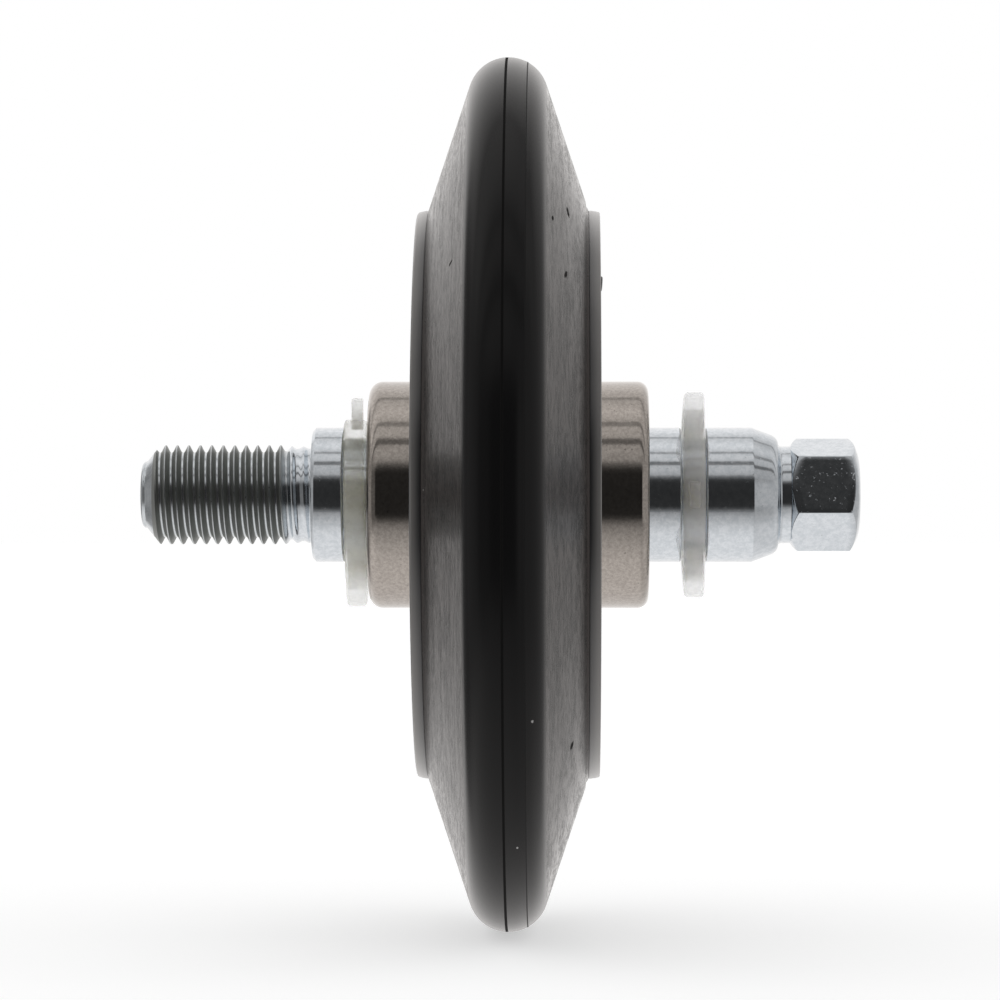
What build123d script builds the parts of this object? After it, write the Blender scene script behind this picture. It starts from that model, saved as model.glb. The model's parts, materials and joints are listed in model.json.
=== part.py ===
from build123d import *
import math
import os

# Dryer roller wheel. A tyred hub on a sintered bush turns and floats on a turned shaft,
# between two triangular retaining rings. All sizes are millimetres and degrees.
# The wheel turns about Y. The origin is the middle of the wheel on its axis.
# The threaded end of the shaft points to -Y and its hexagon to +Y.

# Tyre
tyre_diameter = 96.2
crown_radius = 4.4
tyre_foot_width = 17.5

# Hub
hub_width = 20.0
flange_diameter = 62.6
flange_thickness = 1.35
flange_round_thread_side = 0.45
flange_round_hex_side = 0.12
channel_depth = 3.2
rim_wall = 2.4
key_height = 1.4
key_foot_width = 6.4
key_crest_width = 5.0
boss_wall = 3.6
web_thickness = 2.4
rib_count = 6
rib_thickness = 2.2
pocket_corner_round = 1.4
gate_mark_diameter = 1.7
gate_mark_height = 0.38
gate_mark_reach = 23.3

# Bush
bush_diameter = 25.0
bush_length = 30.72
bush_round_thread_side = 1.5
bush_round_hex_side = 1.2
bush_bore_chamfer = 0.5

# Shaft, from the threaded tip to the hexagon
tip_face_diameter = 7.35
tip_round = 0.5
tip_chamfer_length = 1.5
thread_diameter = 10.95
thread_length = 14.3
run_out_diameter = 10.45
run_out_length = 2.8
collar_length = 3.5
collar_chamfer = 0.35
journal_diameter = 14.85
groove_floor_diameter = 12.4
groove_edge_round = 0.2
body_length = 4.65
body_taper_length = 2.4
body_taper_diameter = 13.4
shoulder_round_length = 0.95
neck_diameter = 10.7
neck_length = 1.3
hex_length = 7.85
hex_across_flats = 11.0
hex_tilt = 11.7
hex_inner_chamfer_length = 0.8
hex_outer_chamfer_length = 1.05
hex_dome_drop_at_flats = 0.42
hex_end_face_diameter = 7.4

# Retaining rings
ring_thickness = 2.45
ring_tip_thickness = 2.15
ring_strip_width = 1.94
ring_outer_corner_radius = 4.0
ring_inner_corner_radius = 2.0
ring_edge_round = 0.4
tab_reach = 10.65
tab_width = 2.9
tab_thickness = 1.2
tab_corner_round = 0.5
inner_ring_tab_angle = 90.0
outer_ring_tab_angle = 0.0

# Fits
journal_clearance = 0.04
hub_bore_clearance = 0.03
tyre_seat_clearance = 0.03
tyre_side_clearance = 0.06
tyre_lip_clearance = 0.12
ring_grip_clearance = 0.02
ring_side_clearance = 0.125
thread_side_end_gap = 0.155
hex_side_end_gap = 3.705

# Radii and places that follow from the sizes above
tyre_radius = tyre_diameter / 2
hub_half_width = hub_width / 2
flange_radius = flange_diameter / 2
channel_floor_radius = flange_radius - channel_depth
channel_half_width = hub_half_width - flange_thickness
bush_radius = bush_diameter / 2
bush_half_length = bush_length / 2
journal_radius = journal_diameter / 2
hub_bore_radius = bush_radius + hub_bore_clearance
bush_bore_radius = journal_radius + journal_clearance
groove_floor_radius = groove_floor_diameter / 2
groove_half_width = ring_thickness / 2 + ring_side_clearance
inner_ring_middle = -(bush_half_length + thread_side_end_gap + ring_thickness / 2)
outer_ring_middle = bush_half_length + hex_side_end_gap + ring_thickness / 2


def circles(shape, radius):
    """Circular edges of one radius, sorted along the axis."""
    found = [
        edge
        for edge in shape.edges().filter_by(GeomType.CIRCLE)
        if math.isclose(edge.radius, radius, abs_tol=1e-4)
    ]
    return ShapeList(found).sort_by(Axis.Y)


def make_tyre():
    """Rubber tyre: round crown, straight conical sides and a foot that fills the hub's channel."""
    crown_centre = tyre_radius - crown_radius
    foot_half_width = tyre_foot_width / 2
    lip_radius = flange_radius + tyre_lip_clearance
    reach = crown_centre - lip_radius
    slope = math.atan2(foot_half_width, reach)
    slope -= math.asin(crown_radius / math.hypot(reach, foot_half_width))
    tangent_radius = crown_centre + crown_radius * math.sin(slope)
    tangent_half_width = crown_radius * math.cos(slope)
    seat_radius = channel_floor_radius + tyre_seat_clearance
    seat_half_width = channel_half_width - tyre_side_clearance
    key_radius = seat_radius + key_height
    key_crest = key_crest_width / 2 + tyre_seat_clearance
    key_foot = key_foot_width / 2 + tyre_seat_clearance
    with BuildPart() as tyre:
        with BuildSketch(Plane.XY):
            with BuildLine():
                crown = ThreePointArc(
                    (tangent_radius, -tangent_half_width),
                    (tyre_radius, 0),
                    (tangent_radius, tangent_half_width),
                )
                Polyline(
                    crown @ 1,
                    (lip_radius, foot_half_width),
                    (lip_radius, seat_half_width),
                    (seat_radius, seat_half_width),
                    (seat_radius, key_foot),
                    (key_radius, key_crest),
                    (key_radius, -key_crest),
                    (seat_radius, -key_foot),
                    (seat_radius, -seat_half_width),
                    (lip_radius, -seat_half_width),
                    (lip_radius, -foot_half_width),
                    crown @ 0,
                )
            make_face()
        revolve(axis=Axis.Y)
    return tyre.part


def hub_blank():
    """Spool turned about Y: two thin flanges, a channel with a central key, and the bush's bore."""
    key_crest_radius = channel_floor_radius + key_height
    with BuildPart() as blank:
        with BuildSketch(Plane.XY):
            with BuildLine():
                Polyline(
                    (hub_bore_radius, -hub_half_width),
                    (flange_radius, -hub_half_width),
                    (flange_radius, -channel_half_width),
                    (channel_floor_radius, -channel_half_width),
                    (channel_floor_radius, -key_foot_width / 2),
                    (key_crest_radius, -key_crest_width / 2),
                    (key_crest_radius, key_crest_width / 2),
                    (channel_floor_radius, key_foot_width / 2),
                    (channel_floor_radius, channel_half_width),
                    (flange_radius, channel_half_width),
                    (flange_radius, hub_half_width),
                    (hub_bore_radius, hub_half_width),
                    close=True,
                )
            make_face()
        revolve(axis=Axis.Y)
        fillet(circles(blank.part, flange_radius)[0], flange_round_thread_side)
        fillet(circles(blank.part, flange_radius)[-1], flange_round_hex_side)
    return blank.part


def pocket_face(inner_radius, outer_radius):
    """Flat outline of one pocket: a ring sector between two parallel ribs, corners rounded."""
    half_pitch = math.pi / rib_count
    half_rib = rib_thickness / 2

    def beside_rib(radius, side):
        angle = side * (half_pitch - math.asin(half_rib / radius))
        return (radius * math.cos(angle), radius * math.sin(angle))

    with BuildSketch(Plane.XY) as outline:
        with BuildLine():
            low_inner, high_inner = beside_rib(inner_radius, -1), beside_rib(inner_radius, 1)
            low_outer, high_outer = beside_rib(outer_radius, -1), beside_rib(outer_radius, 1)
            ThreePointArc(low_inner, (inner_radius, 0), high_inner)
            Line(high_inner, high_outer)
            ThreePointArc(high_outer, (outer_radius, 0), low_outer)
            Line(low_outer, low_inner)
        make_face()
        fillet(outline.vertices(), pocket_corner_round)
    return outline.sketch


def make_hub():
    """Moulded hub: a spool lightened from both sides by pockets between radial ribs."""
    boss_radius = hub_bore_radius + boss_wall
    rim_inner_radius = channel_floor_radius - rim_wall
    pocket_depth = hub_half_width - web_thickness / 2
    pocket = pocket_face(boss_radius, rim_inner_radius)
    first_pocket = 90 + 180 / rib_count
    with BuildPart() as hub:
        add(hub_blank())
        for side in (-1, 1):
            face = Plane(origin=(0, side * hub_half_width, 0), x_dir=(1, 0, 0), z_dir=(0, side, 0))
            with BuildSketch(face):
                with PolarLocations(0, rib_count, start_angle=first_pocket):
                    add(pocket)
            extrude(amount=-pocket_depth, mode=Mode.SUBTRACT)
        with BuildSketch(Plane.XZ.offset(-hub_half_width)):
            with Locations((0, gate_mark_reach)):
                Circle(gate_mark_diameter / 2)
        extrude(amount=-gate_mark_height)
    return hub.part


def make_bush():
    """Sintered bush: a plain sleeve with rounded outer ends and a chamfered running bore."""
    with BuildPart() as bush:
        with BuildSketch(Plane.XZ):
            Circle(bush_radius)
            Circle(bush_bore_radius, mode=Mode.SUBTRACT)
        extrude(amount=bush_half_length, both=True)
        fillet(circles(bush.part, bush_radius)[0], bush_round_thread_side)
        fillet(circles(bush.part, bush_radius)[-1], bush_round_hex_side)
        chamfer(circles(bush.part, bush_bore_radius), bush_bore_chamfer)
    return bush.part


def make_shaft():
    """Turned shaft: thread, shoulder, two ring grooves, journal, tapered nose, neck and hexagon."""
    thread_groove_start = inner_ring_middle - groove_half_width
    thread_groove_end = inner_ring_middle + groove_half_width
    hex_groove_start = outer_ring_middle - groove_half_width
    hex_groove_end = outer_ring_middle + groove_half_width
    shoulder = thread_groove_start - collar_length
    thread_end = shoulder - run_out_length
    thread_start = thread_end - thread_length
    chamfer_start = thread_start - tip_chamfer_length
    taper_start = hex_groove_end + body_length
    taper_end = taper_start + body_taper_length
    neck_start = taper_end + shoulder_round_length
    hex_start = neck_start + neck_length
    hex_end = hex_start + hex_length
    thread_radius = thread_diameter / 2
    run_out_radius = run_out_diameter / 2
    tip_face_radius = tip_face_diameter / 2
    taper_radius = body_taper_diameter / 2
    neck_radius = neck_diameter / 2
    bulge = math.sin(math.radians(45))
    with BuildPart() as shaft:
        with BuildSketch(Plane.XY):
            with BuildLine():
                nose = ThreePointArc(
                    (taper_radius, taper_end),
                    (
                        neck_radius + (taper_radius - neck_radius) * bulge,
                        taper_end + shoulder_round_length * bulge,
                    ),
                    (neck_radius, neck_start),
                )
                tip = ThreePointArc(
                    (tip_face_radius, chamfer_start),
                    (
                        tip_face_radius - tip_round * (1 - bulge),
                        chamfer_start - tip_round * bulge,
                    ),
                    (tip_face_radius - tip_round, chamfer_start - tip_round),
                )
                Polyline(
                    tip @ 1,
                    (0, chamfer_start - tip_round),
                    (0, hex_start),
                    (neck_radius, hex_start),
                    nose @ 1,
                )
                Polyline(
                    nose @ 0,
                    (journal_radius, taper_start),
                    (journal_radius, hex_groove_end),
                    (groove_floor_radius, hex_groove_end),
                    (groove_floor_radius, hex_groove_start),
                    (journal_radius, hex_groove_start),
                    (journal_radius, thread_groove_end),
                    (groove_floor_radius, thread_groove_end),
                    (groove_floor_radius, thread_groove_start),
                    (journal_radius, thread_groove_start),
                    (journal_radius, shoulder + collar_chamfer),
                    (journal_radius - collar_chamfer, shoulder),
                    (run_out_radius, shoulder),
                    (run_out_radius, thread_end),
                    (thread_radius, thread_end),
                    (thread_radius, thread_start),
                    tip @ 0,
                )
            make_face()
        revolve(axis=Axis.Y)
        groove_ends = (thread_groove_start, thread_groove_end, hex_groove_start, hex_groove_end)
        rims = [
            edge
            for edge in circles(shaft.part, journal_radius)
            if any(math.isclose(edge.center().Y, end, abs_tol=1e-4) for end in groove_ends)
        ]
        fillet(rims, groove_edge_round)
        add(hex_head(hex_start, hex_end))
    return shaft.part


def hex_head(start, end):
    """Hexagonal drive with a turned chamfer at the neck and a domed chamfer at the free end."""
    side_count = 6
    half_side_angle = 180 / side_count
    flat_radius = hex_across_flats / 2
    corner_radius = flat_radius / math.cos(math.radians(half_side_angle))
    end_face_radius = hex_end_face_diameter / 2
    neck_radius = neck_diameter / 2
    with BuildPart() as blank:
        with BuildSketch(Plane.XY):
            with BuildLine():
                dome = ThreePointArc(
                    (corner_radius, end - hex_outer_chamfer_length),
                    (flat_radius, end - hex_dome_drop_at_flats),
                    (end_face_radius, end),
                )
                Polyline(
                    dome @ 1,
                    (0, end),
                    (0, start),
                    (neck_radius, start),
                    (corner_radius, start + hex_inner_chamfer_length),
                    dome @ 0,
                )
            make_face()
        revolve(axis=Axis.Y)
        with BuildSketch(Plane.XZ.offset(-start)):
            RegularPolygon(flat_radius, side_count, major_radius=False, rotation=hex_tilt + half_side_angle)
        extrude(amount=-(end - start), mode=Mode.INTERSECT)
    return blank.part


def make_ring(middle, tab_angle):
    """Triangular retaining ring: its sides grip the groove floor and a pull tab stands on one side."""
    inner_reach = groove_floor_radius + ring_grip_clearance
    outer_reach = inner_reach + ring_strip_width
    outer_corner_distance = 2 * (outer_reach - ring_outer_corner_radius)
    inner_corner_distance = 2 * (inner_reach - ring_inner_corner_radius)
    tip_radius = outer_corner_distance + ring_outer_corner_radius
    first_corner = tab_angle + 60
    plane = Plane.XZ.offset(-middle)
    with BuildPart() as ring:
        with BuildSketch(plane):
            with PolarLocations(outer_corner_distance, 3, start_angle=first_corner):
                Circle(ring_outer_corner_radius)
            make_hull()
        extrude(amount=ring_thickness / 2, both=True)
        fillet(ring.edges().filter_by(plane), ring_edge_round)
        with BuildSketch(Plane.XY):
            with BuildLine():
                Polyline(
                    (0, middle - ring_thickness / 2),
                    (journal_radius, middle - ring_thickness / 2),
                    (tip_radius, middle - ring_tip_thickness / 2),
                    (tip_radius, middle + ring_tip_thickness / 2),
                    (journal_radius, middle + ring_thickness / 2),
                    (0, middle + ring_thickness / 2),
                    close=True,
                )
            make_face()
        revolve(axis=Axis.Y, mode=Mode.INTERSECT)
        with BuildSketch(plane):
            with PolarLocations(0, 1, start_angle=tab_angle):
                with Locations(((outer_reach - ring_strip_width / 2 + tab_reach) / 2, 0)):
                    tab = Rectangle(tab_reach - outer_reach + ring_strip_width / 2, tab_width)
            fillet(tab.vertices(), tab_corner_round)
        extrude(amount=tab_thickness / 2, both=True)
        with BuildSketch(plane):
            with PolarLocations(inner_corner_distance, 3, start_angle=first_corner):
                Circle(ring_inner_corner_radius)
            make_hull()
        extrude(amount=ring_thickness, both=True, mode=Mode.SUBTRACT)
    return ring.part


parts = {
    "tyre": make_tyre(),
    "hub": make_hub(),
    "bush": make_bush(),
    "shaft": make_shaft(),
    "inner_retaining_ring": make_ring(inner_ring_middle, inner_ring_tab_angle),
    "outer_retaining_ring": make_ring(outer_ring_middle, outer_ring_tab_angle),
}

os.makedirs("parts", exist_ok=True)
for name, solid in parts.items():
    export_step(solid, f"parts/{name}.step")
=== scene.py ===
"""Looks of the dryer roller wheel: the detailed pieces, their finishes and the light tent around them."""
import json
import logging
import math
from dataclasses import dataclass, field
from enum import Enum
from functools import lru_cache
from typing import Any, Iterable, Protocol, Sequence

import bmesh
import bpy
import numpy as np
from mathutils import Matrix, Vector


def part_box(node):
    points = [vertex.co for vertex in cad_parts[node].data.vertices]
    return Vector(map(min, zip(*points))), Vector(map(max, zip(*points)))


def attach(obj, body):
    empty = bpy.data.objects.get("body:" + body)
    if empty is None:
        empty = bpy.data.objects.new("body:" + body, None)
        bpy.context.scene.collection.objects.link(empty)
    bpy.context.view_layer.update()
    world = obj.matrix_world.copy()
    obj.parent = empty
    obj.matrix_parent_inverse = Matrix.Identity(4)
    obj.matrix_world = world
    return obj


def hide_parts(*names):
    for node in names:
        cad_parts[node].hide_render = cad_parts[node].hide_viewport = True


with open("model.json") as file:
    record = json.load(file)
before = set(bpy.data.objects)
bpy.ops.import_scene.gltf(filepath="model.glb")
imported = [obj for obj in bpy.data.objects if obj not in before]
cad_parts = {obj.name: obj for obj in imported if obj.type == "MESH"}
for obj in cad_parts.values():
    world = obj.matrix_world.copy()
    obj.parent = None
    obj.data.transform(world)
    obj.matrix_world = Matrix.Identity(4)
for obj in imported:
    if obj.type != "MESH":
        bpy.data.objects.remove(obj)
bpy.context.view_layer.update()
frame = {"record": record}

# Sizes are millimetres and degrees, and make_piece turns them into metres.
# The wheel turns about Y. An angle round the axis starts at +X, which faces the camera, and turns to +Z.
MM = 0.001
FULL_TURN = 2 * math.pi

Colour = tuple[float, float, float]
Profile = list[tuple[float, float]]
Range = tuple[float, float]
# What a node's input takes: a number, a colour, a vector or another node's socket.
Value = Any

RISING: Range = (0.0, 1.0)
FALLING: Range = (1.0, 0.0)
# Most of a noise lies between these levels.
BULK: Range = (0.3, 0.7)
# Points that are closer than this, in millimetres, are one.
WELD = 1e-4
# A flat end is filled by loops at these shares of its radius, and by one face inside them.
FACE_SHARES = (0.6, 0.2)
# The tyre's mould seam stands a little off the wheel's middle.
SEAM_STATION = -0.14

log = logging.getLogger("roller")


class Side(Enum):
    """The two ends of the roller, by the direction along Y."""

    THREAD = -1
    HEXAGON = 1


def grey(level: float) -> Colour:
    """Returns the neutral colour of one linear level."""
    return (level, level, level)


@lru_cache(maxsize=None)
def ends(node: str) -> tuple[float, float]:
    """Returns a CAD node's lowest and highest stations along the axis, in millimetres."""
    low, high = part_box(node)
    return (low.y / MM, high.y / MM)


@lru_cache(maxsize=None)
def outer_radius(node: str) -> float:
    """Returns how far a CAD node reaches above the axis, in millimetres."""
    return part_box(node)[1].z / MM


def middle_station(node: str) -> float:
    """Returns the middle of a CAD node along the axis, in millimetres."""
    return sum(ends(node)) / 2


class Skin:
    """Points, in millimetres, and faces of one piece while it is being built."""

    def __init__(self) -> None:
        """Starts with nothing in it."""
        self.points: list[tuple[float, float, float]] = []
        self.faces: list[tuple[int, ...]] = []

    def loop(self, plane: Iterable[complex], stations: float | Sequence[float]) -> list[int]:
        """Adds a loop of points round the axis.

        Args:
            plane: Places across the axis, as X plus Z times i.
            stations: Their places along the axis, as one number or one for each point.

        Returns:
            The numbers of the new points.
        """
        places = list(plane)
        along = [stations] * len(places) if isinstance(stations, (int, float)) else list(stations)
        first = len(self.points)
        self.points += [(p.real, float(y), p.imag) for p, y in zip(places, along)]
        return list(range(first, len(self.points)))

    def bridge(self, first: list[int], second: list[int]) -> None:
        """Joins two closed loops of as many points with four-sided faces."""
        for i in range(len(first)):
            j = (i + 1) % len(first)
            self.faces.append((first[i], first[j], second[j], second[i]))

    def chain(self, loops: list[list[int]], closed: bool = False) -> None:
        """Bridges each loop to the next, and the last to the first where it is closed."""
        for first, second in zip(loops, loops[1:]):
            self.bridge(first, second)
        if closed:
            self.bridge(loops[-1], loops[0])

    def cap(self, loop: list[int]) -> None:
        """Closes a loop with one flat face."""
        self.faces.append(tuple(loop))


def even_turn(count: int) -> np.ndarray:
    """Returns the unit directions of evenly spaced angles round the axis, as complex numbers."""
    return np.exp(1j * np.arange(count) * FULL_TURN / count)


def rounded(corners: Sequence[tuple[float, float, float]], steps: int) -> Profile:
    """Rounds the corners of a closed profile.

    Args:
        corners: Radius, station and rounding of each corner.
        steps: Number of straight runs in each rounded corner.

    Returns:
        The profile's points, as radius and station.
    """
    done: Profile = []
    for i, (radius, station, rounding) in enumerate(corners):
        here = complex(radius, station)
        if rounding == 0:
            done.append((radius, station))
            continue
        before = complex(*corners[i - 1][:2]) - here
        after = complex(*corners[(i + 1) % len(corners)][:2]) - here
        before /= abs(before)
        after /= abs(after)
        half_angle = abs(np.angle(after / before)) / 2
        bisector = (before + after) / abs(before + after)
        centre = here + bisector * rounding / math.sin(half_angle)
        start = here + before * rounding / math.tan(half_angle) - centre
        turn = np.angle((here + after * rounding / math.tan(half_angle) - centre) / start)
        for step in range(steps + 1):
            place = centre + start * np.exp(1j * turn * step / steps)
            done.append((place.real, place.imag))
    return done


def quarter_turn(steps: int) -> list[float]:
    """Returns the angles of even steps up to a right angle, without the first at 0."""
    return [math.pi / 2 * step / steps for step in range(1, steps + 1)]


def turn_profile(skin: Skin, profile: Profile, directions: np.ndarray) -> None:
    """Turns a closed profile about Y, as a ring with nothing on the axis."""
    skin.chain([skin.loop(directions * radius, station) for radius, station in profile], closed=True)


@dataclass(frozen=True)
class Grain:
    """A noise that is alike in all directions: its scale, its number of layers and their strength."""

    scale: float
    layers: float
    rough: float = 0.55


@dataclass(frozen=True)
class Streaks:
    """A noise drawn out round the axis: its changes round it, along it and away from it, and its layers."""

    turns: float
    along: float
    out: float
    layers: float
    rough: float


class Graph:
    """A node tree, with short calls for the nodes that the finishes share."""

    def __init__(self, tree: bpy.types.NodeTree) -> None:
        """Empties the tree."""
        self.tree = tree
        tree.nodes.clear()

    def node(self, kind: str, inputs: dict[Any, Value] | None = None, **settings: Any) -> bpy.types.Node:
        """Adds a node.

        Args:
            kind: The node's type, without its prefix.
            inputs: Values or sockets for its inputs, by name or number.
            settings: The node's own options.

        Returns:
            The new node.
        """
        made = self.tree.nodes.new("ShaderNode" + kind)
        for option, value in settings.items():
            setattr(made, option, value)
        for key, value in (inputs or {}).items():
            if isinstance(value, bpy.types.NodeSocket):
                self.tree.links.new(value, made.inputs[key])
            else:
                made.inputs[key].default_value = value
        return made

    def math(self, operation: str, *values: Value) -> bpy.types.NodeSocket:
        """Returns the result of one sum on values or sockets."""
        return self.node("Math", dict(enumerate(values)), operation=operation).outputs[0]

    def vector(self, operation: str, *values: Value) -> bpy.types.NodeSocket:
        """Returns the vector result of one sum on vectors."""
        return self.node("VectorMath", dict(enumerate(values)), operation=operation).outputs[0]

    def scaled(self, value: Value, factor: Value) -> bpy.types.NodeSocket:
        """Returns a vector or colour times a number."""
        return self.node("VectorMath", {0: value, "Scale": factor}, operation="SCALE").outputs[0]

    def length(self, value: Value) -> bpy.types.NodeSocket:
        """Returns the length of a vector."""
        return self.node("VectorMath", {0: value}, operation="LENGTH").outputs["Value"]

    def place(self) -> Value:
        """Returns the place on the piece, in millimetres in the part's own frame."""
        metres = self.node("TexCoord").outputs["Object"]
        return self.scaled(metres, 1 / MM)

    def radius(self, place: Value) -> Value:
        """Returns how far a place is from the axis."""
        return self.length(self.vector("MULTIPLY", place, (1, 0, 1)))

    def station(self, place: Value) -> Value:
        """Returns where a place is along the axis."""
        return self.node("SeparateXYZ", {0: place}).outputs["Y"]

    def grain(self, place: Value, grain: Grain) -> Value:
        """Returns a grain's noise, between 0 and 1."""
        inputs = {"Vector": place, "Scale": grain.scale, "Detail": grain.layers, "Roughness": grain.rough}
        return self.node("TexNoise", inputs).outputs["Fac"]

    def streaks(self, place: Value, streaks: Streaks) -> Value:
        """Returns the noise of streaks, between 0 and 1.

        Args:
            place: The place on the piece.
            streaks: How the noise changes round the axis, and with each millimetre along and away from it.

        Returns:
            The noise's socket.
        """
        unit = self.vector("NORMALIZE", self.vector("MULTIPLY", place, (1, 0, 1)))
        parts = self.node("SeparateXYZ", {0: unit}).outputs
        along = self.math("MULTIPLY", self.station(place), streaks.along)
        out = self.math("MULTIPLY", self.radius(place), streaks.out)
        drawn_out = {
            "X": self.math("MULTIPLY", parts["X"], streaks.turns),
            "Y": self.math("ADD", along, out),
            "Z": self.math("MULTIPLY", parts["Z"], streaks.turns),
        }
        vector = self.node("CombineXYZ", drawn_out).outputs[0]
        return self.grain(vector, Grain(1.0, streaks.layers, streaks.rough))

    def span(self, value: Value, over: Range, to: Range = RISING) -> Value:
        """Returns a value carried smoothly from one range to another, and held at its ends."""
        inputs = dict(enumerate((value, *over, *to)))
        return self.node("MapRange", inputs, interpolation_type="SMOOTHSTEP").outputs[0]

    def ramp(self, value: Value, stops: Sequence[tuple[float, float]]) -> Value:
        """Returns a level read from stops, each with its position and its level."""
        made = self.node("ValToRGB", {0: value})
        elements = made.color_ramp.elements
        while len(elements) < len(stops):
            elements.new(1)
        for element, (position, level) in zip(elements, stops):
            element.position = position
            element.color = (*grey(level), 1)
        return made.outputs["Color"]

    def mix(self, factor: Value, first: Value, second: Value) -> Value:
        """Returns a blend of two colours, each a colour or a socket."""
        colours = [(*c, 1) if isinstance(c, tuple) else c for c in (first, second)]
        inputs = {0: factor, 6: colours[0], 7: colours[1]}
        return self.node("Mix", inputs, data_type="RGBA").outputs[2]

    def bump(self, height: Value, depth: float) -> Value:
        """Returns a normal bent by a height from 0 to 1, where 1 measures this depth in millimetres."""
        return self.node("Bump", {"Height": height, "Distance": depth * MM, "Strength": 1.0}).outputs[0]

    def surface(self, inputs: dict[str, Value]) -> None:
        """Ends a material in one principled shader with these inputs."""
        shader = self.node("BsdfPrincipled", inputs)
        self.node("OutputMaterial", {"Surface": shader.outputs[0]})


class Finish(Protocol):
    """What each finish offers."""

    name: str

    def paint(self, graph: Graph) -> None:
        """Draws the finish into an empty node tree."""


def material_of(finish: Finish) -> bpy.types.Material:
    """Returns the finish's material, made once."""
    made = bpy.data.materials.get(finish.name)
    if made is None:
        made = bpy.data.materials.new(finish.name)
        made.use_nodes = True
        finish.paint(Graph(made.node_tree))
    return made


@dataclass(frozen=True)
class Mark:
    """A small scuff or speck on the rubber: its place, its half length and half width, and its lean."""

    place: tuple[float, float, float]
    half_length: float
    half_width: float
    lean: float = 0.0


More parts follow.
